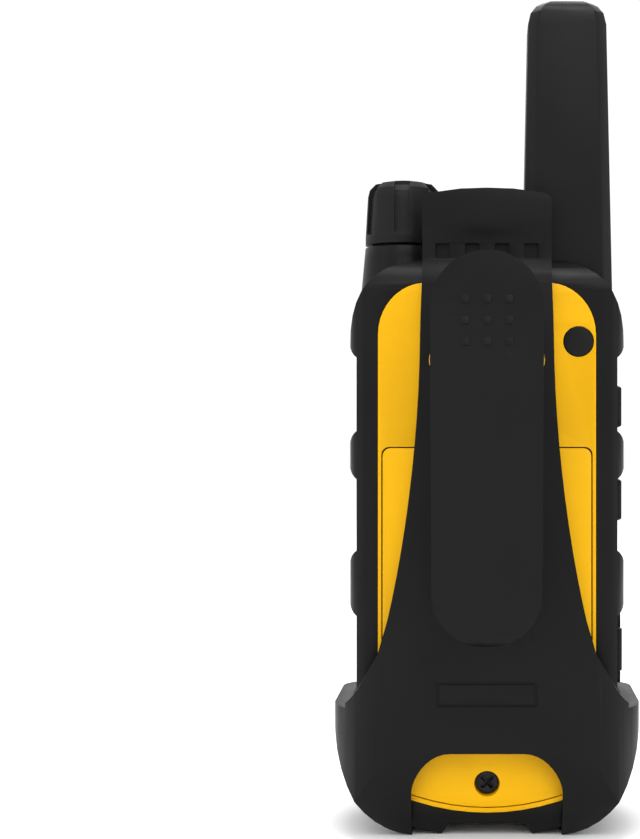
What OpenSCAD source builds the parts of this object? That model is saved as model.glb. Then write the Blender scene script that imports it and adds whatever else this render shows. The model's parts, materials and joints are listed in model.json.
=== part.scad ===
// Rugged two way radio standing in its belt holster, millimetres.
// The display faces -Y, the belt clip faces +Y, and Z is up from the holster's flat foot.

/* [Whole object] */
// Height of the antenna tip above the holster's foot
total_h = 193.2; // [190:0.2:196]
// Half the width of the radio body across its ribs
body_hw = 31.4; // [31.2:0.1:31.6]
// Half the depth of the radio body
body_hd = 16.6; // [16.5:0.05:16.7]
// Height of the body's flat top
body_top = 132; // [131.5:0.25:132.25]
// Wall of the radio's housings
wall = 2; // [1.8:0.1:2.2]

/* [Side bays and buttons] */
// Depth of the grip bays in the sides
bay_depth = 1.7; // [1.2:0.1:1.8]
// Length of an up or down button along the body's depth
side_button_l = 12; // [11:0.5:12.5]
// Height of an up or down button
side_button_h = 9.7; // [9:0.1:10]
// Travel that each button's pocket leaves
key_travel = 0.8; // [0.6:0.1:0.9]

/* [Antenna and knob] */
// Distance of the antenna's centre from the middle of the body
antenna_x = 18.7; // [18.4:0.1:18.8]
// Width of the antenna at its foot
antenna_w = 21; // [20:0.1:21.2]
// Depth of the antenna at its foot
antenna_d = 16.6; // [16:0.1:17]
// Distance of the volume knob's axis from the middle of the body
knob_x = 19.6; // [19.3:0.1:19.7]
// Radius of the volume knob
knob_r = 9.05; // [8.5:0.05:9.2]
// Number of grip flutes round the knob
knob_flutes = 6; // [5:1:8]
// Radius of the volume control's shaft
shaft_r = 3; // [2.5:0.1:3.2]

/* [Rear panel and battery door] */
// Half the width of the yellow rear panel
panel_hw = 24.9; // [24.4:0.1:25.1]
// Height of the seam above the battery door
door_top = 88.6; // [87:0.2:90]
// Radius of a battery cell
cell_r = 7.1; // [7:0.05:7.15]
// Length of a battery cell
cell_l = 50.5; // [50:0.1:50.6]

/* [Holster] */
// Half the width of the cup
cup_hw = 35.3; // [34.8:0.1:35.5]
// Height of the cup's rim
cup_rim = 29.7; // [29:0.1:29.8]
// Half the width of the cut-out under the battery door
cut_hw = 17.1; // [16.5:0.1:17.2]
// Half the width of the latch tab
tab_hw = 14.6; // [14:0.1:14.7]
// Height of the latch tab's curved top
tab_top = 147.4; // [145:0.2:148]
// Half the width of the belt clip
clip_hw = 11.9; // [11.5:0.1:12]
// Radius of the clip's hinge pin
pin_r = 1.5; // [1.3:0.05:1.6]
// Radius of the hinge pin's domed heads
pin_head_r = 2.4; // [2:0.1:2.5]

/* [Hidden] */
axis_y = 2.5;
panel_y = 16.85;
spine_y = 17.05;
split_y = -6.3;
gap = 0.15;
run = 0.05;
reach = 60;
clip_y = 35.8;
clip_z = 107.9;
fascia_hw = 29;
fascia_y = -12.2;
recess_hw = 22;
recess_y = -13.5;
cavity = bay_depth + wall + 0.4;
seal_in = bay_depth + 0.6;
cell_y = 8.4;
cell_z = 27;
port_y = 2.35;
keys_z = 61;
jaw_top = 130.8;
lever_top = 130.4;
lever_low = 45.5;
lug_x = 11.7;
lug_t = 2.9;
board_y = -6.9;
board_t = 1.4;
knob_z = 136;
knob_top = 151;
side_y = 2.5;
up_z = 98.1;
down_z = 76.4;
jack_x = -20.8;
jack_z = 112.8;
screw_z = 12.4;
usb_z = 42.3;
panel_top = 126.3;
panel_low = 5.5;
door_low = 7;
panel_t = 1;
speaker_z = 28.2;
steel_col = [0.75, 0.75, 0.77];
black_col = [0.13, 0.13, 0.135];
yellow_col = [0.95, 0.68, 0.06];
$fn = 48;

// Points of a cubic curve from p to s, bent towards q and r
function curve(p, q, r, s, n = 10) = [for (i = [0 : n]) let (t = i / n, u = 1 - t)
    u * u * u * p + 3 * u * u * t * q + 3 * u * t * t * r + t * t * t * s];
function flip(pts) = [for (i = [len(pts) - 1 : -1 : 0]) [-pts[i][0], pts[i][1]]];
function both(pts) = concat(pts, flip(pts));

module along_y(y0, y1) {
    translate([0, y1, 0]) rotate([90, 0, 0]) linear_extrude(y1 - y0) children();
}

module along_x(x0, x1) {
    translate([x0, 0, 0]) rotate([90, 0, 90]) linear_extrude(x1 - x0) children();
}

module rod_y(x, z, y0, y1, r) {
    translate([x, y1, z]) rotate([90, 0, 0]) cylinder(r = r, h = y1 - y0);
}

module rod_x(y, z, x0, x1, r) {
    translate([x0, y, z]) rotate([0, 90, 0]) cylinder(r = r, h = x1 - x0);
}

module block(lo, hi) {
    translate(lo) cube(hi - lo);
}

// Rectangle from lo to hi with round corners
module rrect(lo, hi, r) {
    translate([lo[0] + r, lo[1]]) square([hi[0] - lo[0] - 2 * r, hi[1] - lo[1]]);
    translate([lo[0], lo[1] + r]) square([hi[0] - lo[0], hi[1] - lo[1] - 2 * r]);
    for (x = [lo[0] + r, hi[0] - r], y = [lo[1] + r, hi[1] - r]) translate([x, y]) circle(r);
}

// Rectangle from lo to hi with cut corners
module crect(lo, hi, c) {
    polygon([[lo[0] + c, lo[1]], [hi[0] - c, lo[1]], [hi[0], lo[1] + c], [hi[0], hi[1] - c],
        [hi[0] - c, hi[1]], [lo[0] + c, hi[1]], [lo[0], hi[1] - c], [lo[0], lo[1] + c]]);
}

// ---- radio body ----

module body_xz(e) {
    w = body_hw - e;
    polygon(both(concat(
        [for (x = [0 : 4 : 16]) [x, e - 1.1 + x * x / 92]],
        curve([17, 2.05 + e], [25 - e, 3.2 + e], [w, 15], [w, 27]),
        curve([w, 112], [w, 124.5 - e], [25.5 - e, body_top - 0.7 - e], [14, body_top - e]))));
}

module body_yz(e) {
    d = body_hd - e;
    polygon(concat(
        [[0, e + 2.9], [4, e - 1.1], [12.5 - e, e - 1.1]],
        curve([12.5 - e, e - 0.5], [14.4 - e, 1.6 + e], [d, 6 + e], [d, 12 + e], 8),
        curve([d, 124.5], [d, 128.4], [13 - e, body_top - e], [9.6, body_top - e], 8),
        curve([-3, body_top - e], [-12 + e, body_top - e], [-d, 122], [-d, 111]),
        curve([-d, 20], [-d, 13], [-12, 7.2 + e], [-5.5 + e, 3.1 + e], 6)));
}

module body_xy(e) {
    w = body_hw - e;
    d = body_hd - e;
    rear_r = max(4 - e, 1.2);
    rrect([-w, -10], [w, d], rear_r);
    rrect([-w, -d], [w, 8], max(6 - e, 2));
}

module body_solid(e) {
    intersection() {
        along_y(-reach, reach) body_xz(e);
        along_x(-reach, reach) body_yz(e);
        translate([0, 0, -5]) linear_extrude(150) body_xy(e);
    }
}

// One grip bay, let into the side at X = +body_hw between heights z0 and z1, open at the rear
module bay(z0, z1) {
    d = bay_depth;
    x = body_hw - d;
    slope = 2;
    intersection() {
        block([x, -14.4, z0], [reach, 20, z1]);
        along_y(-reach, reach) polygon([[x, z0 + slope], [x + 3 * d, z0 - 2 * slope],
            [x + 3 * d, z1 + 2 * slope], [x, z1 - slope]]);
        translate([0, 0, z0 - 1]) linear_extrude(z1 - z0 + 2) polygon([[x, 2.8 - 14.4],
            [x, 20], [x + 3 * d, 20], [x + 3 * d, -14.4 - 5.6]]);
        along_x(0, reach) crect([-14.4, z0], [16.5, z1], 3);
    }
}

module bays() {
    for (s = [0, 1]) mirror([s, 0, 0]) {
        bay(90.1, 111.6);
        bay(62.9, 83.9);
        bay(30.2, 52.7);
    }
}

// Outline of the rear panel, shrunk by e
module panel_xz(e) {
    hw = panel_hw - e;
    low = panel_low + e;
    top = panel_top - e;
    r = 11.8;
    polygon(both(concat(
        [for (x = [0 : 4 : 16]) [x, low + x * x / 98]],
        curve([18, low + 3.3], [hw - 2, low + 5], [hw, low + 7], [hw, low + 11], 5),
        curve([hw, top - r], [hw, top - r * 0.45], [hw - r * 0.4, top - r * 0.04],
            [hw - r * 0.85, top]))));
}

// Layer that follows the back of the body, from in inside its surface to out outside it
module back_layer(in, out) {
    difference() {
        along_x(-reach, reach) difference() {
            body_yz(-out);
            body_yz(in);
        }
        block([-reach - 1, -reach, -5], [reach + 1, 10, 140]);
    }
}

module boss_places() {
    for (x = [-26.3, 26.3], z = [24, 88]) translate([x, 0, z]) children();
}

// Room for a side button, grown by extra on each side
module side_button_hole(z, extra) {
    l = side_button_l / 2 + extra;
    h = side_button_h / 2 + extra;
    along_x(-reach, -27) rrect([side_y - l, z - h], [side_y + l, z + h], 2 + extra);
}

module charging_notch() {
    along_y(-reach, reach) polygon([[-12, -2], [12, -2], [8.5, 2.9], [-8.5, 2.9]]);
}

// Room for the antenna's foot, grown by extra on each side
module antenna_seat(extra) {
    w = antenna_w / 2 + extra;
    d = antenna_d / 2 + extra;
    intersection() {
        translate([-antenna_x, axis_y, 110]) linear_extrude(40) crect([-w, -d], [w, d], 2.3);
        along_y(-reach, reach) polygon([[-reach, 122 - extra], [-25, 122 - extra],
            [-8, 130.5 - extra], [0, 130.5 - extra], [0, 150], [-reach, 150]]);
    }
}

module body_cavity() {
    body_solid(cavity);
}

module rear_housing() {
    color(black_col) difference() {
        union() {
            intersection() {
                body_solid(0);
                block([-reach, split_y, -5], [reach, reach, 140]);
            }
            intersection() {
                translate([knob_x, axis_y, 121]) cylinder(r1 = knob_r + 1.35, r2 = knob_r + 0.05, h = 14.3);
                block([0, split_y, 118], [body_hw, reach, knob_z]);
            }
            // rim that closes the slit under the knob
            translate([knob_x, axis_y, 134]) cylinder(r = 7.6, h = 1.8);
        }
        difference() {
            intersection() {
                body_cavity();
                block([-reach, split_y - 1, -5], [reach, reach, 140]);
            }
            block([-23.4, -0.1, 18.6], [23.4, reach, 81.6]);
            rod_y(0, screw_z, 1, reach, 5.2);
            boss_places() rod_y(0, 0, split_y - 2, reach, 3.2);
        }
        along_y(1.1, reach) rrect([-22.1, 20], [22.1, 80.2], 2);
        bays();
        boss_places() rod_y(0, 0, split_y - 2, 2, 1.25);
        intersection() {
            along_y(10, reach) panel_xz(0);
            back_layer(panel_t, 2);
        }
        for (x = [-14, 14]) block([x - 3.2, 14.2, 79], [x + 3.2, 15.7, 88.7]);
        rod_y(0, screw_z, 10.8, reach, 4.1);
        rod_y(0, screw_z, 2.9, 12, 2.2);
        antenna_seat(0.1);
        translate([-antenna_x, axis_y, 115]) cylinder(r = 5.2, h = 20);
        translate([knob_x, axis_y, 115]) cylinder(r = 4.4, h = 25);
        rod_y(jack_x, jack_z, 0, reach, 3.5);
        side_button_hole(up_z, gap);
        side_button_hole(down_z, gap);
        along_x(-reach, -24) rrect([port_y - 2.9, usb_z - 5], [port_y + 2.9, usb_z + 5], 1);
        along_x(-reach, -29.1) rrect([-4.4, usb_z - 8.7], [9.1, usb_z + 8.6], 1.6);
        block([-reach, 9, usb_z - 5.2], [-29.1, 13.4, usb_z + 5.2]);
        charging_notch();
        for (x = [-4.5, 4.5]) translate([x, 6, 0]) cylinder(r = 2.1, h = 8);
    }
}

module front_housing() {
    color(black_col) difference() {
        intersection() {
            body_solid(0);
            block([-reach, -reach, -5], [reach, split_y - run, 140]);
        }
        difference() {
            intersection() {
                body_cavity();
                block([-reach, fascia_y + wall, -5], [reach, reach, 140]);
            }
            boss_places() rod_y(0, 0, -reach, reach, 3.2);
        }
        seal_groove(0.1);
        bays();
        boss_places() rod_y(0, 0, -9.6, reach, 1.6);
        boss_places() rod_y(0, 0, -reach, -9.3, 2.9);
        along_y(-reach, fascia_y) rrect([-fascia_hw, 10.8], [fascia_hw, 123.2], 8);
        along_y(-reach, 0) rrect([-19.5, 66], [19.5, 98.5], 2);
        along_y(-reach, 0) rrect([-9, 101], [9, 113], 2);
        for (x = [-13.4, 0, 13.4]) rod_y(x, keys_z, -reach, 0, 2.4);
        rod_y(0, speaker_z, -reach, 0, 13.6);
        rod_y(18, 46.3, -reach, 0, 3.2);
        antenna_seat(0.1);
        charging_notch();
    }
}

// Groove round the seam between the housings, shrunk to the seal by a negative extra
module seal_groove(extra) {
    intersection() {
        difference() {
            body_solid(seal_in - extra);
            body_solid(seal_in + 0.9 + extra);
        }
        block([-reach, split_y - 0.9 - extra, 0], [reach, split_y - 0.06, 140]);
    }
}

module housing_seal() {
    color([0.5, 0.15, 0.1]) seal_groove(0);
}

module housing_screws() {
    color(steel_col) boss_places() difference() {
        union() {
            rod_y(0, 0, -11.4, -9.4, 2.5);
            rod_y(0, 0, -9.5, 1.5, 1.2);
        }
        for (a = [0, 90]) rotate([0, a, 0]) block([-1.5, -12, -0.3], [1.5, -10.4, 0.3]);
    }
}

module front_fascia() {
    g = gap;
    color(yellow_col) difference() {
        intersection() {
            along_y(-reach, fascia_y - 0.02) rrect([g - fascia_hw, 10.8 + g],
                [fascia_hw - g, 123.2 - g], 8 - g);
            body_solid(0);
        }
        // recess with the display, keys and wide talk button
        along_y(-reach, recess_y) crect([-recess_hw, 52], [recess_hw, 119], 4);
        along_y(-reach, -13) rrect([-19.4, 67.2], [19.4, 97.7], 2);
        along_y(-reach, 0) rrect([-18.2, 68.3], [18.2, 96.6], 1);
        along_y(-reach, 0) rrect([-18.3, 99.7], [18.3, 115.2], 3.2);
        along_y(-reach, 0) rrect([-20.2, 56.5], [20.2, 66.4], 1.4);
        // speaker grille
        along_y(-reach, -15.6) rrect([-19.5, 15.7], [19.5, 40.7], 4);
        for (i = [-4 : 4]) along_y(-reach, 0)
            rrect([3.2 * i - 0.7, 18.2 + 0.3 * abs(i)], [3.2 * i + 0.7, 38.2 - 0.3 * abs(i)], 0.65);
        rod_y(18, 46.3, -reach, 0, 0.6);
    }
    // blank raised band above the grille
    color(yellow_col) along_y(-17.1, -16.2) crect([-16, 42.4], [16, 50.2], 1.2);
}

module rear_panel() {
    color(yellow_col) difference() {
        intersection() {
            along_y(10, reach) panel_xz(gap);
            back_layer(panel_t - 0.05, panel_y - body_hd);
        }
        along_y(0, reach) door_xz(0.28);
        rod_y(jack_x, jack_z, 0, reach, 3.5);
    }
}

// Outline of the battery door, grown by extra
module door_xz(extra) {
    hw = panel_hw - 1.2 + extra;
    low = door_low - extra;
    top = door_top + extra;
    r = 1.8;
    polygon(both(concat(
        [for (x = [0 : 4 : 16]) [x, low + x * x / 98]],
        curve([18, low + 3.3], [hw - 2, low + 5], [hw, low + 6.8], [hw, low + 10], 5),
        curve([hw, top - r], [hw, top - r * 0.45], [hw - r * 0.45, top], [hw - r, top], 5))));
}

module battery_door() {
    color(yellow_col) difference() {
        union() {
            intersection() {
                along_y(10, reach) door_xz(0);
                back_layer(panel_t - gap, panel_y - body_hd);
            }
            rod_y(0, screw_z, 11, 16, 3.9);
            for (x = [-14, 14]) block([x - 3, 14.4, 80.4], [x + 3, 15.55, 88.4]);
            for (x = [-14, 14]) block([x - 3, 15, 80.4], [x + 3, 16.4, 84]);
        }
        rod_y(0, screw_z, 13, reach, 2.9);
        rod_y(0, screw_z, 0, reach, 1.4);
    }
}

module door_seal() {
    color([0.5, 0.15, 0.1]) along_y(15.05, 15.7) difference() {
        rrect([-22, 20.1], [22, 80.1], 2);
        rrect([-21, 21.1], [21, 79.1], 1.4);
    }
}

module door_screw() {
    color([0.1, 0.1, 0.1]) difference() {
        union() {
            rod_y(0, screw_z, 13.05, 15.2, 2.5);
            rod_y(0, screw_z, 5, 13.1, 1.15);
        }
        for (a = [45, 135]) translate([0, 0, screw_z]) rotate([0, a, 0])
            block([-1.7, 13.9, -0.35], [1.7, 16, 0.35]);
    }
}

module door_insert() {
    color([0.8, 0.6, 0.25]) difference() {
        rod_y(0, screw_z, 3, 10.5, 2.15);
        rod_y(0, screw_z, 2, 12, 1.2);
    }
}

module cell_places() {
    for (x = [-14.6, 0, 14.6]) translate([x, cell_y, 0]) children();
}

module battery_cells() {
    color([0.25, 0.27, 0.3]) cell_places() {
        translate([0, 0, cell_z]) cylinder(r = cell_r, h = cell_l - 1);
        translate([0, 0, cell_z]) cylinder(r = 2.7, h = cell_l);
    }
}

module battery_springs() {
    color(steel_col) cell_places() {
        for (i = [0 : 3]) translate([0, 0, 21 + 1.75 * i]) rotate_extrude()
            translate([4.6 - 0.7 * i, 0]) circle(0.45, $fn = 24);
        translate([-0.5, 0, 20.6]) for (i = [0 : 2])
            translate([5.1 - 0.7 * i, 0, 1.75 * i]) rotate([0, -21.8, 0]) cylinder(r = 0.4, h = 1.9);
    }
}

module battery_contacts() {
    color(steel_col) cell_places() translate([-4.5, -4, 79.6]) cube([9, 8, 0.4]);
    color(steel_col) cell_places() translate([0, 0, cell_z + cell_l + 0.05]) cylinder(r = 1.6, h = 2.1);
}

module charging_contacts() {
    color([0.85, 0.7, 0.3]) for (x = [-4.5, 4.5]) translate([x, 6, 0]) {
        translate([0, 0, 1.4]) cylinder(r = 1.5, h = 6);
        translate([0, 0, 2.2]) cylinder(r = 2, h = 1.2);
    }
}

module main_board() {
    color([0.1, 0.35, 0.15]) along_y(board_y, board_y + board_t) difference() {
        rrect([-22.6, 14], [22.6, 118], 2);
        for (x = [-18.5, 18.5], z = [17.5, 114]) translate([x, z]) circle(1.2);
    }
}

module rf_shield() {
    y0 = board_y + board_t;
    color(steel_col) difference() {
        along_y(y0 + 0.02, y0 + 3.4) rrect([-12, 86], [11.5, 110], 1);
        along_y(y0 - 1, y0 + 3.1) rrect([-11.7, 86.3], [11.2, 109.7], 0.7);
        for (x = [-8 : 4 : 8], z = [90 : 4 : 106]) rod_y(x, z, -5, 0, 0.7);
    }
}

module display_module() {
    color([0.75, 0.77, 0.72]) along_y(-11.8, -9) rrect([-17.4, 69], [17.4, 96], 0.8);
    color([0.9, 0.9, 0.88]) along_y(-9.1, board_y - 0.02) rrect([-15, 70], [15, 95], 0.8);
}

module display_lens() {
    color([0.05, 0.05, 0.06]) along_y(-14.4, -13.03) rrect([-19.25, 67.35], [19.25, 97.55], 1.85);
}

module display_seal() {
    color([0.2, 0.2, 0.2]) along_y(-12.2, -11.82) difference() {
        rrect([-18.8, 67.6], [18.8, 97.3], 1.4);
        rrect([-16.6, 69.8], [16.6, 95.2], 0.8);
    }
}

module speaker() {
    color([0.2, 0.2, 0.22]) difference() {
        union() {
            rod_y(0, speaker_z, -11.9, -10.2, 13.3);
            rod_y(0, speaker_z, -10.3, -7.2, 8);
        }
        translate([0, -11.95, speaker_z]) rotate([-90, 0, 0]) cylinder(r1 = 12, r2 = 5, h = 1.4);
    }
}

module speaker_mesh() {
    color([0.1, 0.1, 0.1]) rod_y(0, speaker_z, -12.18, -11.95, 13.3);
}

module microphone() {
    color(steel_col) rod_y(18, 46.3, -10.5, board_y - 0.02, 3);
}

module ptt_button() {
    color(black_col) union() {
        intersection() {
            along_y(-reach, reach) rrect([-18.1, 99.9], [18.1, 115], 3);
            along_x(-19, 19) polygon(concat([[-13.2, 99], [-14.6, 99.6], [-16.2, 101], [-16.5, 102.6]],
                curve([-16.3, 104.2], [-15.2, 105.6], [-15.2, 109], [-16.3, 110.6], 6),
                [[-16.5, 112.4], [-16.2, 114], [-14.6, 115.2], [-13.2, 116]]));
        }
        along_y(-13.4, -9.6) rrect([-5, 104], [5, 111], 1);
    }
}

module ptt_switch() {
    color([0.3, 0.3, 0.32]) along_y(-8.2, board_y - 0.02) rrect([-3, 104.5], [3, 110.5], 0.5);
    color([0.6, 0.6, 0.6]) rod_y(0, 107.5, -8.7, -8.1, 1.6);
}

// A front key: a cap between x0 and x1 with a stem behind it
module front_key(x0, x1) {
    xm = (x0 + x1) / 2;
    color(black_col) intersection() {
        along_y(-16.4, -13.4) crect([x0, keys_z - 4.3], [x1, keys_z + 5.1], 0.9);
        along_x(x0, x1) polygon([[-13, 55], [-13, 67], [-15.8, 67], [-16.4, 65.4],
            [-16.4, 60.5], [-14.2, 56.4]]);
    }
    color(black_col) rod_y(xm, keys_z, -14.2, -9.6, 2.1);
}

module call_button() {
    front_key(-19.9, -7);
}

module menu_button() {
    front_key(-6.7, 6.7);
}

module lock_button() {
    front_key(7, 19.9);
}

module key_switches() {
    color([0.3, 0.3, 0.32]) for (x = [-13.45, 0, 13.45]) {
        along_y(-8, board_y - 0.02) rrect([x - 2.6, keys_z - 2.6], [x + 2.6, keys_z + 2.6], 0.4);
        rod_y(x, keys_z, -8.7, -7.9, 1.3);
    }
}

module side_button(z) {
    l = side_button_l / 2;
    h = side_button_h / 2;
    difference() {
        union() {
            along_x(-27.25, -26.85)
                rrect([side_y - l - 0.7, z - h - 0.7], [side_y + l + 0.7, z + h + 0.7], 2);
            intersection() {
                along_x(-31.3, -27) rrect([side_y - l, z - h], [side_y + l, z + h], 2);
                along_y(-reach, reach) polygon([[-32, z - h + 0.9], [-30.2, z - h - 0.3],
                    [-27, z - h - 0.3], [-27, z + h + 0.3], [-30.2, z + h + 0.3], [-32, z + h - 0.9]]);
                translate([0, 0, z - h]) linear_extrude(2 * h) polygon([[-32, side_y - l + 0.9],
                    [-30.2, side_y - l - 0.3], [-27, side_y - l - 0.3], [-27, side_y + l + 0.3],
                    [-30.2, side_y + l + 0.3], [-32, side_y + l - 0.9]]);
            }
        }
        children();
    }
}

module up_button() {
    color(black_col) side_button(up_z) along_x(-reach, -31)
        polygon([[side_y - 2.2, up_z - 1.3], [side_y + 2.2, up_z - 1.3], [side_y, up_z + 1.7]]);
}

module down_button() {
    color(black_col) side_button(down_z) along_x(-reach, -31)
        polygon([[side_y - 2.2, down_z + 1.3], [side_y + 2.2, down_z + 1.3], [side_y, down_z - 1.7]]);
}

module side_switches() {
    color([0.3, 0.3, 0.32]) for (z = [up_z, down_z]) {
        block([-25.6, -0.5, z - 3], [-23.6, 5.5, z + 3]);
        rod_x(side_y, z, -25.95, -25.5, 1.4);
        block([-24.6, -6.9, z - 3], [-23.6, 0, z + 3]);
    }
}

module usb_cover() {
    color(black_col) difference() {
        union() {
            along_x(-31, -29.2) rrect([-4.2, usb_z - 8.5], [8.9, usb_z + 8.4], 1.5);
            along_x(-29.3, -28.1) rrect([port_y - 2.3, usb_z - 4.4], [port_y + 2.3, usb_z + 4.4], 0.8);
            block([-30.8, 8.5, usb_z - 4.8], [-29.9, 12.3, usb_z + 4.8]);
            translate([-30.2, 12.3, usb_z - 4.8]) cylinder(r = 0.85, h = 9.6);
        }
        // generic mark: a ring with a bar
        along_x(-reach, -30.8) difference() {
            translate([port_y, usb_z]) circle(2.6);
            translate([port_y, usb_z]) circle(2.1);
        }
        along_x(-reach, -30.8) rrect([port_y - 0.3, usb_z - 1.2], [port_y + 0.3, usb_z + 4.2], 0.25);
    }
}

module usb_connector() {
    color(steel_col) difference() {
        block([-27.8, port_y - 1.9, usb_z - 3.9], [-23.6, port_y + 1.9, usb_z + 3.9]);
        block([-28.5, port_y - 1.5, usb_z - 3.5], [-24.1, port_y + 1.5, usb_z + 3.5]);
    }
    color([0.1, 0.1, 0.1]) block([-27.2, port_y - 0.4, usb_z - 2.8], [-24, port_y + 0.4, usb_z + 2.8]);
    color([0.1, 0.35, 0.15]) {
        block([-24.8, board_y, usb_z - 3], [-23.8, port_y - 1.8, usb_z + 3]);
        block([-24.8, board_y, usb_z - 3], [-22.65, board_y + board_t, usb_z + 3]);
    }
}

module jack_cover() {
    color(black_col) rod_y(jack_x, jack_z, 13.6, panel_y + 0.1, 3.35);
    color(black_col) rod_y(jack_x, jack_z, 12.2, 13.8, 1.3);
}

module audio_jack() {
    color([0.15, 0.15, 0.15]) difference() {
        union() {
            rod_y(jack_x, jack_z, -1, 11.9, 3.2);
            block([jack_x - 3.2, -5.3, jack_z - 3], [jack_x + 3.2, 0, jack_z + 3]);
        }
        rod_y(jack_x, jack_z, 1, 13, 1.55);
    }
}

// One level of the antenna: height, half width, lowest and highest y, corner cut
module antenna_level(z, hw, y0, y1, c) {
    ym = (y0 + y1) / 2;
    translate([-antenna_x, 0, z - 0.05]) linear_extrude(0.05) polygon([[-hw, y1 - c], [c - hw, y1],
        [hw - c, y1], [hw, y1 - c], [hw, y0 + c], [hw - c, y0], [1.6 * c - hw, y0],
        [0.7 * c - hw, y0 + 1.4 * c], [-hw, ym - 0.4 * c]]);
}

module antenna_sleeve() {
    w = antenna_w / 2;
    d = antenna_d / 2;
    color(black_col) difference() {
        intersection() {
            hull() {
                antenna_level(122, w, axis_y - d, axis_y + d, 2.3);
                antenna_level(total_h - 6, w - 1.35, axis_y - d + 0.9, axis_y + d - 0.9, 2.2);
                antenna_level(total_h - 3.3, w - 1.95, axis_y - d + 1.5, axis_y + d - 1.4, 2.2);
                antenna_level(total_h - 1.5, w - 3.2, axis_y - d + 2.8, axis_y + d - 2.5, 2.2);
                antenna_level(total_h - 0.5, w - 4.7, axis_y - d + 4.2, axis_y + d - 3.8, 1.9);
                antenna_level(total_h, w - 6.5, axis_y - d + 5.9, axis_y + d - 5.4, 1.4);
            }
            antenna_seat_and_above();
        }
        translate([-antenna_x, axis_y, 110]) cylinder(r = 5, h = 73);
    }
}

module antenna_seat_and_above() {
    along_y(-reach, reach) polygon([[-reach, 122], [-25, 122], [-8, 130.5], [0, 130.5], [0, 200],
        [-reach, 200]]);
}

module antenna_coil() {
    color([0.75, 0.45, 0.25]) translate([-antenna_x, axis_y, 0]) {
        translate([0, 0, 131]) cylinder(r = 3.2, h = 49);
        for (i = [0 : 11]) translate([0, 0, 133 + 4 * i]) rotate_extrude()
            translate([3.2, 0]) circle(0.5, $fn = 24);
    }
}

module antenna_base() {
    color([0.8, 0.65, 0.3]) translate([-antenna_x, axis_y, 0]) {
        translate([0, 0, 117]) cylinder(r = 4.9, h = 12);
        translate([0, 0, 128.9]) cylinder(r = 3, h = 2.05);
    }
}

// Half section of the knob, set back by e from its outside
module knob_half(e) {
    r = knob_r - e;
    top = knob_top - e;
    polygon([[0, knob_z], [r, knob_z], [r, knob_z + 1.8], [r - 0.55, top - 3.6],
        [r - 0.95, top - 2], [r - 2.3, top - 0.6], [r - 4.6, top - 0.1], [0, top]]);
}

module volume_knob() {
    color(black_col) translate([knob_x, axis_y, 0]) difference() {
        union() {
            rotate_extrude() knob_half(0.7);
            difference() {
                rotate_extrude() knob_half(0);
                for (i = [1 : knob_flutes]) rotate([0, 0, i * 360 / knob_flutes])
                    along_y(5, 20) rrect([-1.8, knob_z + 2.2], [1.8, knob_top + 5], 0.7);
            }
        }
        translate([0, 0, knob_z - 1]) cylinder(r = shaft_r + 0.02, h = 12);
    }
}

module volume_shaft() {
    color(steel_col) translate([knob_x, axis_y, 112]) cylinder(r = shaft_r, h = 34);
}

module volume_control() {
    color([0.3, 0.3, 0.32]) translate([knob_x, axis_y, 0]) difference() {
        union() {
            translate([-6.5, -6.5, 106]) cube([13, 13, 8]);
            translate([0, 0, 113.5]) cylinder(r = 4.2, h = 16.5);
        }
        translate([0, 0, 111.5]) cylinder(r = shaft_r + run, h = 30);
    }
}

module knob_seal() {
    color([0.5, 0.15, 0.1]) translate([knob_x, axis_y, 131]) rotate_extrude()
        translate([shaft_r + 0.7, 0]) circle(0.55, $fn = 24);
}

// ---- holster and belt clip ----

// Plan of the cup's rear half and of the spine's foot
module rear_plan() {
    rrect([-cup_hw, -10], [cup_hw, 22.9], 15);
}

module cup_outer() {
    intersection() {
        along_y(-reach, reach) polygon(both(concat([[0, 0]],
            curve([17.4, 0], [27, 1], [cup_hw, 14], [cup_hw, 27]), [[cup_hw, 60]])));
        along_x(-reach, reach) polygon(concat(
            curve([13.8, 0], [18, 4.5], [22.9, 13], [22.9, 24]), [[22.9, 60], [-19.2, 60]],
            curve([-19.2, 24], [-19.2, 10], [-13.5, 3.4], [-8, 0])));
        translate([0, 0, -1]) linear_extrude(cup_rim + 1) union() {
            rrect([-cup_hw, -19.2], [cup_hw, 10], 6.5);
            rear_plan();
        }
    }
}

module cup_inner() {
    intersection() {
        along_y(-reach, reach) polygon(both(concat([[0, 1.6]],
            curve([16.2, 1.6], [25.4, 2.1], [31.9, 14.6], [31.9, 27]), [[31.9, 60]])));
        along_x(-reach, reach) polygon(concat(
            curve([14.4, 1.6], [17.2, 5.3], [19.4, 12], [19.4, 22]), [[19.4, 60], [-17, 60]],
            curve([-17, 20], [-17, 11.4], [-12.6, 5.6], [-5.7, 1.65]), [[-5.2, 1.6]]));
        translate([0, 0, -1]) linear_extrude(70) union() {
            rrect([-31.9, -17], [31.9, 10], 5.6);
            rrect([-31.9, -8], [31.9, 19.4], 8);
        }
    }
}

// Side view of the spine and latch tab
module spine_yz() {
    polygon(concat([[spine_y, cup_rim - 4], [spine_y, tab_top + 1], [19.2, tab_top + 1]],
        curve([19.2, 140], [19.2, 137.6], [18.6, 137.4], [18.6, 135.4], 6),
        curve([18.6, 131.5], [18.7, 129.6], [21.1, 128.6], [21.4, 125.8], 8),
        [[22.4, 90], [22.9, 60], [22.9, 22]]));
}

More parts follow.
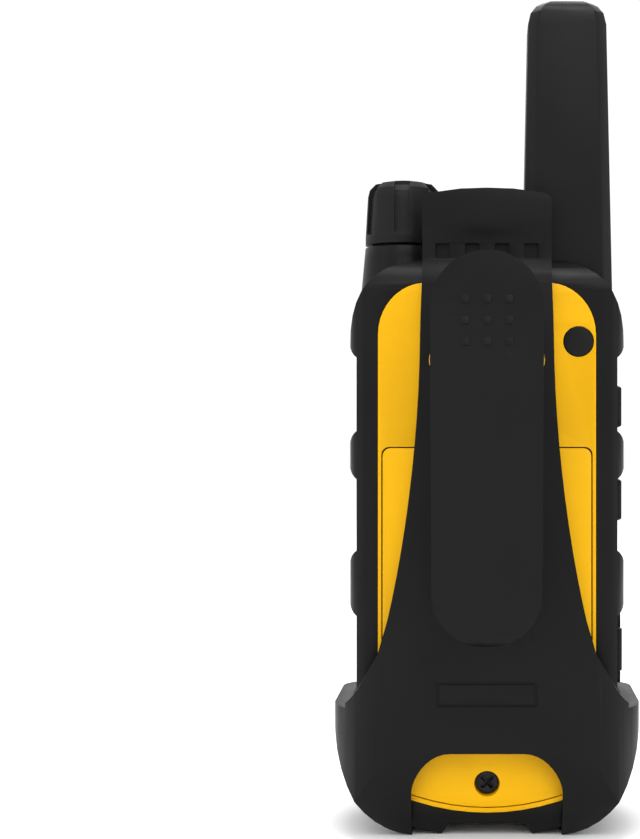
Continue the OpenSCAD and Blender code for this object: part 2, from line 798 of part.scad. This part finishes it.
module spine_xz() {
    polygon(both(concat([[0, cup_rim - 4], [cup_hw - 1.2, cup_rim - 4]],
        curve([cup_hw - 1.2, cup_rim], [30.2, cup_rim + 1.5], [28.2, 36.5], [24.6, 42.2]),
        curve([22.3, 50], [18.5, 66], [15.6, 88], [15.1, 108]),
        [[14.9, 118], [tab_hw, 126], [tab_hw, tab_top - 4]],
        curve([tab_hw, tab_top - 3.4], [tab_hw, tab_top - 1.8], [tab_hw - 0.8, tab_top - 1.3],
            [tab_hw - 2, tab_top - 1.1], 4), [[6, tab_top - 0.2], [0, tab_top]])));
}

module holster() {
    color(black_col) difference() {
        union() {
            difference() {
                cup_outer();
                cup_inner();
                // U-shaped opening at the front
                along_y(-reach, -14) polygon(both(concat([[0, 9]],
                    curve([14, 9], [20, 9.2], [22.4, 12], [23.4, 17]), [[27.5, 60]])));
            }
            // guide ribs inside the rear wall
            intersection() {
                cup_outer();
                union() {
                    for (x = [-20, 20]) block([x - 1, spine_y, 16], [x + 1, 21, cup_rim - 1]);
                }
            }
            intersection() {
                along_y(-reach, reach) spine_xz();
                along_x(-reach, reach) spine_yz();
                linear_extrude(150) rear_plan();
            }
            inner_jaw();
        }
        // cut-out under the battery door
        along_y(0.3, reach) polygon(both(concat([[0, -1], [cut_hw, -1]],
            curve([cut_hw, 10.5], [cut_hw, 14.5], [13.6, 20.4], [8.3, 20.4]))));
        // latch tab slots
        for (x = [-10, -3.35, 3.35, 10]) along_y(spine_y + 0.45, reach)
            rrect([x - 1.65, 131.5], [x + 1.65, 134.9], 0.4);
        // border of the blank plate on the cup's rear
        along_y(22.5, reach) difference() {
            rrect([-11.3, 31], [11.3, 36.6], 0.6);
            rrect([-10.6, 31.7], [10.6, 35.9], 0.4);
        }
        rod_x(clip_y, clip_z, -reach, reach, pin_r + run);
    }
}

module inner_jaw() {
    // paddle with a round top
    along_y(27.9, 30.6) union() {
        translate([0, jaw_top - clip_hw]) circle(clip_hw);
        translate([-clip_hw, 100]) square([2 * clip_hw, jaw_top - clip_hw - 100]);
    }
    // block that carries the paddle, with the grip hump on its rear
    intersection() {
        along_y(20, 33) union() {
            translate([0, 45.4 + clip_hw]) circle(clip_hw);
            translate([-clip_hw, 45.4 + clip_hw]) square([2 * clip_hw, 60.1 - clip_hw]);
        }
        along_x(-reach, reach) polygon(concat([[21, 45.4], [21, 105.5], [30.6, 105.5], [30.6, 102.3],
            [29.1, 102.2]], curve([29.1, 88.6], [31.7, 85.8], [32.1, 77], [31.3, 68.5], 8),
            [[27, 50.4], [23.4, 45.7]]));
    }
    // hinge lug between the lever's lugs
    difference() {
        along_x(-4, 4) difference() {
            union() {
                translate([clip_y, clip_z]) circle(3.6);
                polygon([[29, 102.3], [33.4, 101.3], [36.6, 104.4], [36.6, 111.4], [33, 112.4],
                    [29, 112.8]]);
            }
            translate([clip_y, clip_z]) circle(1);
        }
        // room for the spring
        block([-2.2, 31.4, clip_z - 7], [2.2, clip_y + 5, clip_z + 5]);
    }
}

// Side view of the lever's bar, from its foot to its top
module lever_yz() {
    polygon(concat([[43.3, lever_top + 1], [42.4, 123.5], [41.3, 117], [38.9, 101.5], [36.4, 86]],
        curve([34.4, 70], [33.3, 62], [31, 55], [27.7, 49.8], 6),
        curve([27.3, 48.6], [26.8, 45], [31.4, 44], [33.4, 48], 8),
        curve([35.2, 52], [37, 57], [38.4, 67], [39.4, 76.5], 6),
        [[41.1, 86.2], [43.4, 101], [45.3, 112.8], [46.1, 118.5], [46.4, 123.5], [46.9, lever_top + 1]]));
}

module clip_lever() {
    color(black_col) difference() {
        union() {
            intersection() {
                along_y(20, reach) union() {
                    translate([0, lever_top - clip_hw]) circle(clip_hw);
                    translate([-clip_hw, lever_low + clip_hw])
                        square([2 * clip_hw, lever_top - lever_low - 2 * clip_hw]);
                    translate([0, lever_low + clip_hw]) circle(clip_hw);
                }
                along_x(-reach, reach) lever_yz();
            }
            // lugs on each side of the holster's lug
            for (x = [-lug_x, lug_x - lug_t]) along_x(x, x + lug_t)
                polygon(concat([[41.3, 113.4], [33.6, 111.1]],
                    curve([33.6, 111.1], [32.6, 110], [32.4, 106], [33.3, 104.4], 5),
                    [[39.3, 101.1], [42.5, 101.1], [44.4, 113.4]]));
            // grip bumps
            for (x = [-4.6, 0, 4.6], p = [[46.1, 120.2], [45.7, 115.8], [45, 111.4]])
                translate([x, p[0], p[1]]) rotate([8, 0, 0]) along_y(-0.85, 0.35)
                    rrect([-0.85, -0.85], [0.85, 0.85], 0.4);
        }
        rod_x(clip_y, clip_z, -reach, reach, pin_r + 0.02);
        for (s = [-1, 1]) rod_x(clip_y, clip_z, s * lug_x - 0.7, s * lug_x + 0.7, pin_head_r + 0.02);
    }
}

module clip_pin() {
    dome_h = 0.75;
    dome_r = (pin_head_r * pin_head_r + dome_h * dome_h) / (2 * dome_h);
    color(steel_col) {
        rod_x(clip_y, clip_z, -lug_x, lug_x, pin_r);
        for (s = [0, 1]) mirror([s, 0, 0]) intersection() {
            rod_x(clip_y, clip_z, lug_x - 0.68, lug_x + dome_h, pin_head_r);
            translate([lug_x + dome_h - dome_r, clip_y, clip_z]) sphere(dome_r, $fn = 96);
        }
    }
}

module clip_spring() {
    color(steel_col) {
        for (i = [0 : 2]) translate([-1.4 + 1.4 * i, clip_y, clip_z]) rotate([0, 90, 0])
            rotate_extrude() translate([pin_r + 0.75, 0]) circle(0.55, $fn = 24);
        translate([-1.4, clip_y + 2.25, clip_z]) rotate([10, 0, 0]) cylinder(r = 0.5, h = 9);
        translate([1.4, clip_y - 2.25, clip_z - 9]) cylinder(r = 0.5, h = 9);
    }
}

holster();
clip_lever();
clip_pin();
clip_spring();
rear_housing();
front_housing();
housing_seal();
housing_screws();
front_fascia();
rear_panel();
battery_door();
door_seal();
door_screw();
door_insert();
battery_cells();
battery_springs();
battery_contacts();
charging_contacts();
main_board();
rf_shield();
display_module();
display_lens();
display_seal();
speaker();
speaker_mesh();
microphone();
ptt_button();
ptt_switch();
call_button();
menu_button();
lock_button();
key_switches();
up_button();
down_button();
side_switches();
usb_cover();
usb_connector();
jack_cover();
audio_jack();
antenna_sleeve();
antenna_coil();
antenna_base();
volume_knob();
volume_shaft();
volume_control();
knob_seal();
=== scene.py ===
import json
import math

import bmesh
import bpy
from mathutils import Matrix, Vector


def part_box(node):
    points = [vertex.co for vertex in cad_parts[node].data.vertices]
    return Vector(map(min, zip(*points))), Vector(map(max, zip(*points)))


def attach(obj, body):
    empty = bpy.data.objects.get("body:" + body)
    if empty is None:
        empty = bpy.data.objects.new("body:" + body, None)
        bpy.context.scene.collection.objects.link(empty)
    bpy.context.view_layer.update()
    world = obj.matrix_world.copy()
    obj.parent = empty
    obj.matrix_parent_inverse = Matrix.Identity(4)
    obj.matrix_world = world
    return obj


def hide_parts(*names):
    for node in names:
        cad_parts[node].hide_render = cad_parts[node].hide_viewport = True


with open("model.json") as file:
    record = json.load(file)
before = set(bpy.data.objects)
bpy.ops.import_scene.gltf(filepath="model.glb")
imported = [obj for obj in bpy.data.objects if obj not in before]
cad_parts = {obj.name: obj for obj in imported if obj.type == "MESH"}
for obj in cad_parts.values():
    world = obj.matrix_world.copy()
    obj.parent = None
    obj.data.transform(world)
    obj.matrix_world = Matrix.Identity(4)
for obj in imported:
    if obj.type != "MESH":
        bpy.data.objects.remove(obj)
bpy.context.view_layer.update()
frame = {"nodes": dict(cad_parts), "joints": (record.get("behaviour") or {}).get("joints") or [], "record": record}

# Lengths are in metres unless a comment says mm.
NODES = frame["nodes"]
MM = 0.001

# ---- node materials ----

# Noise scales are per metre, depths in metres, and wear is how far roughness strays.
CLOUD_SCALE = 38
WEAR_SCALE = 90
GRAIN_SCALE = 2600
GRAIN_DEPTH = 0.00006
BRUSH_SCALE = 900
BRUSH_DEPTH = 0.00003
BRUSH_STRENGTH = 0.08
PLASTIC_WEAR = 0.035
METAL_WEAR = 0.05


class Mat:
    """A node material with helpers that add one node each."""

    def __init__(self, name):
        self.mat = bpy.data.materials.new(name)
        self.mat.use_nodes = True
        self.tree = self.mat.node_tree
        self.tree.nodes.clear()
        output = self.add("ShaderNodeOutputMaterial")
        self.bsdf = self.add("ShaderNodeBsdfPrincipled")
        self.link(self.bsdf.outputs["BSDF"], output.inputs["Surface"])
        self.coords = self.add("ShaderNodeTexCoord").outputs["Object"]

    def add(self, kind, **values):
        """Adds a node, setting its own properties and its input sockets by name."""
        node = self.tree.nodes.new(kind)
        for key, value in values.items():
            if hasattr(node, key):
                setattr(node, key, value)
            else:
                node.inputs[key.replace("_", " ")].default_value = value
        return node

    def link(self, a, b):
        self.tree.links.new(a, b)

    def noise(self, scale, detail=3, coords=None):
        n = self.add("ShaderNodeTexNoise", Scale=scale, Detail=detail, Roughness=0.55)
        self.link(coords or self.coords, n.inputs["Vector"])
        return n.outputs["Fac"]

    def span(self, fac, low, high):
        """Spreads the middle of a noise, 0.3 to 0.7, over low to high."""
        m = self.add("ShaderNodeMapRange", From_Min=0.3, From_Max=0.7, To_Min=low, To_Max=high)
        self.link(fac, m.inputs["Value"])
        return m.outputs["Result"]

    def mix(self, fac, a, b):
        """Blends two colours; sockets 0, 6 and 7 are the RGBA factor, A and B."""
        m = self.add("ShaderNodeMix", data_type="RGBA")
        for socket, colour in ((m.inputs[6], a), (m.inputs[7], b)):
            socket.default_value = (*colour, 1)
        self.link(fac, m.inputs[0])
        return m.outputs[2]

    def bump(self, height, strength, distance):
        b = self.add("ShaderNodeBump", Strength=strength, Distance=distance)
        self.link(height, b.inputs["Height"])
        self.link(b.outputs["Normal"], self.bsdf.inputs["Normal"])

    def set(self, **values):
        for key, value in values.items():
            socket = self.bsdf.inputs[key.replace("_", " ")]
            if hasattr(value, "is_output"):
                self.link(value, socket)
            else:
                socket.default_value = value


def plastic(name, dark, light, rough, grain, spec=0.5, grain_scale=GRAIN_SCALE, coat=0.0):
    """Moulded plastic or rubber, clouded between two near colours and finely grained."""
    m = Mat(name)
    m.set(Base_Color=m.mix(m.span(m.noise(CLOUD_SCALE, 4), 0, 1), dark, light))
    m.set(Roughness=m.span(m.noise(WEAR_SCALE), rough - PLASTIC_WEAR, rough + PLASTIC_WEAR))
    m.set(Specular_IOR_Level=spec, Coat_Weight=coat)
    m.bump(m.noise(grain_scale, 2), grain, GRAIN_DEPTH)
    return m.mat


def metal(name, dark, light, rough, stretch=(1, 1, 1)):
    """Brushed metal, with its grain squeezed along each axis by stretch."""
    m = Mat(name)
    mapping = m.add("ShaderNodeMapping", Scale=stretch)
    m.link(m.coords, mapping.inputs["Vector"])
    brushed = m.noise(BRUSH_SCALE, coords=mapping.outputs["Vector"])
    m.set(Base_Color=m.mix(m.span(brushed, 0, 1), dark, light), Metallic=1.0)
    m.set(Roughness=m.span(brushed, rough - METAL_WEAR, rough + METAL_WEAR))
    m.bump(brushed, BRUSH_STRENGTH, BRUSH_DEPTH)
    return m.mat


BLACK_DARK, BLACK_LIGHT = (0.0036, 0.0036, 0.0038), (0.005, 0.005, 0.0053)

# Each plastic: name, dark and light colour, roughness, grain, specular level.
PLASTICS = [
    ("black_moulding", BLACK_DARK, BLACK_LIGHT, 0.42, 0.2, 0.13),
    ("black_housing", BLACK_DARK, BLACK_LIGHT, 0.38, 0.18, 0.14),
    ("antenna_rubber", (0.0046, 0.0046, 0.0049), (0.0062, 0.0062, 0.0066), 0.45, 0.2, 0.13),
    ("black_rubber", (0.005, 0.005, 0.0053), (0.007, 0.007, 0.0074), 0.5, 0.22, 0.16),
    ("key_plastic", (0.0042, 0.0042, 0.0045), (0.006, 0.006, 0.0063), 0.34, 0.12, 0.16),
    ("yellow_plastic", (0.785, 0.405, 0.001), (0.815, 0.43, 0.002), 0.4, 0.14, 0.12),
    ("seal_rubber", (0.2, 0.05, 0.03), (0.28, 0.07, 0.05), 0.6, 0.2, 0.5),
    ("display_glass", (0.4, 0.43, 0.37), (0.46, 0.49, 0.43), 0.2, 0.02, 0.5),
    ("lens", (0.0022, 0.0022, 0.0025), (0.0034, 0.0034, 0.0038), 0.07, 0.0, 0.28),
    ("speaker_frame", (0.02, 0.02, 0.022), (0.035, 0.035, 0.038), 0.5, 0.2, 0.5),
    ("switch_plastic", (0.06, 0.06, 0.065), (0.09, 0.09, 0.095), 0.45, 0.15, 0.5),
    ("sign_paint", (0.55, 0.55, 0.53), (0.68, 0.68, 0.66), 0.5, 0.1, 0.5),
]

# Each metal: name, dark and light colour, roughness and, if not even, its grain's stretch.
METALS = [
    ("polished_steel", (0.74, 0.74, 0.76), (0.84, 0.84, 0.85), 0.12),
    ("spring_steel", (0.48, 0.48, 0.5), (0.62, 0.62, 0.64), 0.25),
    ("tinned_steel", (0.6, 0.6, 0.62), (0.72, 0.72, 0.74), 0.3, (1, 1, 6)),
    ("blackened_steel", (0.012, 0.012, 0.0126), (0.026, 0.026, 0.027), 0.32),
    ("brass", (0.62, 0.42, 0.12), (0.78, 0.57, 0.22), 0.25),
    ("copper", (0.62, 0.25, 0.1), (0.78, 0.36, 0.17), 0.28),
]

M = {values[0]: plastic(*values) for values in PLASTICS}
M.update({values[0]: metal(*values) for values in METALS})
M["foam"] = plastic("foam", (0.012,) * 3, (0.03,) * 3, 0.85, 0.8, grain_scale=1500)
M["cell_jacket"] = plastic(
    "cell_jacket", (0.1, 0.11, 0.13), (0.14, 0.15, 0.17), 0.3, 0.05, coat=0.3)
M["circuit_board"] = plastic(
    "circuit_board", (0.01, 0.12, 0.035), (0.02, 0.19, 0.06), 0.32, 0.15, coat=0.4)

SLOT = {s["node"]: s["material_slot"] for s in frame["record"]["subparts"]}


def dress(ob, material):
    ob.data.materials.clear()
    ob.data.materials.append(material)


# ---- moulded edges on the carried-over nodes ----

# Width of each node's rounded edges, in mm.
EDGE = {
    "holster": 0.55, "clip_lever": 0.6, "rear_housing": 0.45, "front_housing": 0.45,
    "front_fascia": 0.3, "rear_panel": 0.18, "battery_door": 0.18, "antenna_sleeve": 0.45,
    "volume_knob": 0.22, "ptt_button": 0.35, "call_button": 0.3, "menu_button": 0.3,
    "lock_button": 0.3, "up_button": 0.3, "down_button": 0.3, "usb_cover": 0.3,
    "jack_cover": 0.2, "display_lens": 0.2, "clip_pin": 0.25, "door_screw": 0.15,
}
WELD_GAP = 2e-6
FLAT_ANGLE = math.radians(0.3)
EDGE_ANGLE = math.radians(24)


def soften(ob, width):
    """Welds a node's corners, joins its flat facets and rounds its edges by width, in mm."""
    weld = ob.modifiers.new("weld", "WELD")
    weld.merge_threshold = WELD_GAP
    flat = ob.modifiers.new("flat", "DECIMATE")
    flat.decimate_type = "DISSOLVE"
    flat.angle_limit = FLAT_ANGLE
    bevel = ob.modifiers.new("bevel", "BEVEL")
    bevel.width = width * MM
    bevel.segments = 3
    bevel.limit_method = "ANGLE"
    bevel.angle_limit = EDGE_ANGLE
    bevel.use_clamp_overlap = True
    bevel.miter_outer = "MITER_ARC"
    bevel.harden_normals = True


for name, ob in NODES.items():
    dress(ob, M[SLOT[name]])
    for poly in ob.data.polygons:
        poly.use_smooth = True
    if name in EDGE:
        soften(ob, EDGE[name])

# ---- printed signs on the front keys, drawn in mm about the middle of each sign ----

SIGN_RISE = 1.2
SIGN_T = 0.04


def disc(r, steps=16):
    """Corners of a round dot."""
    turns = [2 * math.pi * i / steps for i in range(steps)]
    return [(r * math.cos(a), r * math.sin(a)) for a in turns]


def bar(z, w, h):
    """Corners of an upright rectangle centred at height z."""
    sides = ((-1, -1), (1, -1), (1, 1), (-1, 1))
    return [(i * w / 2, z + j * h / 2) for i, j in sides]


def arc(z, r, width, start, end, steps=16):
    """Corners of a curved stroke centred at height z, from start to end degrees."""
    turns = [math.radians(start + (end - start) * i / steps) for i in range(steps + 1)]
    r_out, r_in = r + width / 2, r - width / 2
    outer = [(r_out * math.cos(a), z + r_out * math.sin(a)) for a in turns]
    inner = [(r_in * math.cos(a), z + r_in * math.sin(a)) for a in turns]
    return outer + inner[::-1]


def sign(name, body, key, outlines):
    """Thin raised print a little above the middle of a key's face, riding with body."""
    low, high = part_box(key)
    x_mid, z_mid = (low.x + high.x) / 2, (low.z + high.z) / 2 + SIGN_RISE * MM
    verts, faces = [], []
    for points in outlines:
        n, base = len(points), len(verts)
        for y in (low.y - SIGN_T * MM, low.y + SIGN_T * MM):
            verts += [(x_mid + x * MM, y, z_mid + z * MM) for x, z in points]
        for i in range(n // 2 - 1):
            quad = (i, i + 1, n - 2 - i, n - 1 - i)
            faces += [[base + k for k in quad], [base + n + k for k in quad]]
        for i in range(n):
            j = (i + 1) % n
            faces.append([base + i, base + n + i, base + n + j, base + j])
    mesh = bpy.data.meshes.new(name)
    mesh.from_pydata(verts, [], faces)
    shell = bmesh.new()
    shell.from_mesh(mesh)
    bmesh.ops.recalc_face_normals(shell, faces=shell.faces)
    shell.to_mesh(mesh)
    shell.free()
    ob = bpy.data.objects.new(name, mesh)
    bpy.context.collection.objects.link(ob)
    dress(ob, M["sign_paint"])
    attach(ob, body)


waves = [arc(0, r, 0.3, side - 42, side + 42) for r in (1.15, 1.95) for side in (0, 180)]
bars = [bar(z, 3.2, 0.42) for z in (-1.1, 0, 1.1)]
padlock = [bar(-0.65, 2.4, 1.6), arc(0.15, 0.78, 0.32, 0, 180)]
sign("call_sign", "call_key", "call_button", [disc(0.45)] + waves)
sign("menu_sign", "menu_key", "menu_button", bars)
sign("lock_sign", "lock_key", "lock_button", padlock)

# ---- belt clip's spring: a wound wire whose two legs press the jaws apart above the pin ----

# In mm and degrees. The coil winds about the clip's hinge and doesn't climb for FLAT_TURN at
# each end.
HINGE = next(joint for joint in frame["joints"] if joint["name"] == "clip_hinge")
PIN_Y, PIN_Z = HINGE["pos_m"][1] / MM, HINGE["pos_m"][2] / MM
WIND_R = 2.25
WIND_X = 1.52
WIRE_R = 0.5
LEG_WIRE_R = 0.51
LEG_TILT = 15
LEG_LENGTH = 9.2
TURN_START = 180 + LEG_TILT
TURN_END = 3 * 360 - LEG_TILT
TURN_STEP = 10
FLAT_TURN = 60
HOOK_TURN = 50


def on_coil(x, turn):
    """Point of the wound wire at x along the pin and turn degrees round it."""
    a = math.radians(turn)
    return (x, PIN_Y + WIND_R * math.cos(a), PIN_Z + WIND_R * math.sin(a))


def leg_end(start, side):
    """End of a straight upward leg from start, leaning to the rear (1) or the front (-1)."""
    a = math.radians(LEG_TILT)
    x, y, z = start
    return (x, y + side * LEG_LENGTH * math.sin(a), z + LEG_LENGTH * math.cos(a))


def wire(name, body, points, radius):
    """Round wire along points, in mm, that rides with body."""
    data = bpy.data.curves.new(name + "_path", "CURVE")
    data.dimensions = "3D"
    data.bevel_depth = radius * MM
    data.bevel_resolution = 4
    data.use_fill_caps = True
    spline = data.splines.new("POLY")
    spline.points.add(len(points) - 1)
    for point, place in zip(spline.points, points):
        point.co = (*(v * MM for v in place), 1)
    path = bpy.data.objects.new(name + "_path", data)
    bpy.context.collection.objects.link(path)
    bpy.context.view_layer.update()
    graph = bpy.context.evaluated_depsgraph_get()
    mesh = bpy.data.meshes.new_from_object(path.evaluated_get(graph))
    bpy.data.objects.remove(path)
    mesh.name = name
    for poly in mesh.polygons:
        poly.use_smooth = True
    ob = bpy.data.objects.new(name, mesh)
    bpy.context.collection.objects.link(ob)
    dress(ob, M["spring_steel"])
    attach(ob, body)
    return ob


coil = []
for turn in range(TURN_START, TURN_END + 1, TURN_STEP):
    wound = (turn - TURN_START - FLAT_TURN) / (TURN_END - TURN_START - 2 * FLAT_TURN)
    coil.append(on_coil(WIND_X * (2 * min(max(wound, 0), 1) - 1), turn))
winding = wire("clip_spring_winding", "holster", [leg_end(coil[0], -1)] + coil, WIRE_R)
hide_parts("clip_spring")
hook = [on_coil(WIND_X, turn) for turn in range(TURN_END - HOOK_TURN, TURN_END + 1, TURN_STEP)]
wire("clip_spring_leg", "clip", hook + [leg_end(hook[-1], 1)], LEG_WIRE_R)

# ---- stage ----

FLOOR_RADIUS = 6
FLOOR_GREY = 0.95
WORLD_STRENGTH = 1.06
AIM = (0, 0, 0.09)
RIM_AIM = (0, 0.02, 0.1)


def floor_paint():
    """Matt white paint with a faint cloud in it."""
    m = Mat("floor_paint")
    m.set(Base_Color=m.mix(m.span(m.noise(3, 2), 0, 1), (FLOOR_GREY,) * 3, (FLOOR_GREY * 0.99,) * 3))
    m.set(Roughness=0.9, Specular_IOR_Level=0.1)
    return m.mat


def plain_floor():
    """Wide plain disc under the object."""
    bpy.ops.mesh.primitive_circle_add(vertices=96, radius=FLOOR_RADIUS, fill_type="NGON")
    ob = bpy.context.object
    ob.name = "floor"
    dress(ob, floor_paint())
    return ob


def softbox(name, place, target, size, power):
    """Rectangular light at place, turned to target."""
    data = bpy.data.lights.new(name, "AREA")
    data.shape = "RECTANGLE"
    data.size, data.size_y = size
    data.energy = power
    ob = bpy.data.objects.new(name, data)
    bpy.context.collection.objects.link(ob)
    ob.location = place
    ob.rotation_euler = (Vector(target) - Vector(place)).to_track_quat("-Z", "Y").to_euler()


floor = plain_floor()

world = bpy.data.worlds.new("studio")
bpy.context.scene.world = world
world.use_nodes = True
background = world.node_tree.nodes["Background"]
background.inputs["Color"].default_value = (1, 1, 1, 1)
background.inputs["Strength"].default_value = WORLD_STRENGTH

softbox("rear_top_box", (0, 0.7, 0.75), AIM, (0.6, 0.6), 2.7)
softbox("front_top_box", (0, -0.7, 0.75), AIM, (0.6, 0.6), 2.7)
softbox("rim_box", (0, 0.12, 0.85), RIM_AIM, (0.3, 0.3), 2.2)
softbox("side_box", (0.75, 0.45, 0.35), AIM, (0.25, 0.7), 0.45)
softbox("edge_box", (-0.75, 0.3, 0.3), AIM, (0.2, 0.7), 0.4)

# Level view of the rear, shifted sideways so that the object stands right of the middle.
CAMERA_PLACE = (0, 0.366, 0.0951)
CAMERA_SHIFT = -0.199
CAMERA_LENS_MM = 66
SENSOR_MM = 36
CLIP_START = 0.01

camera = bpy.data.objects.new("camera", bpy.data.cameras.new("camera"))
bpy.context.collection.objects.link(camera)
bpy.context.scene.camera = camera
camera.data.sensor_width = SENSOR_MM
camera.data.lens = CAMERA_LENS_MM
camera.data.clip_start = CLIP_START
camera.data.shift_x = CAMERA_SHIFT
camera.location = CAMERA_PLACE
camera.rotation_euler = (math.radians(90), 0, math.radians(180))
bpy.context.scene.view_settings.view_transform = "Standard"
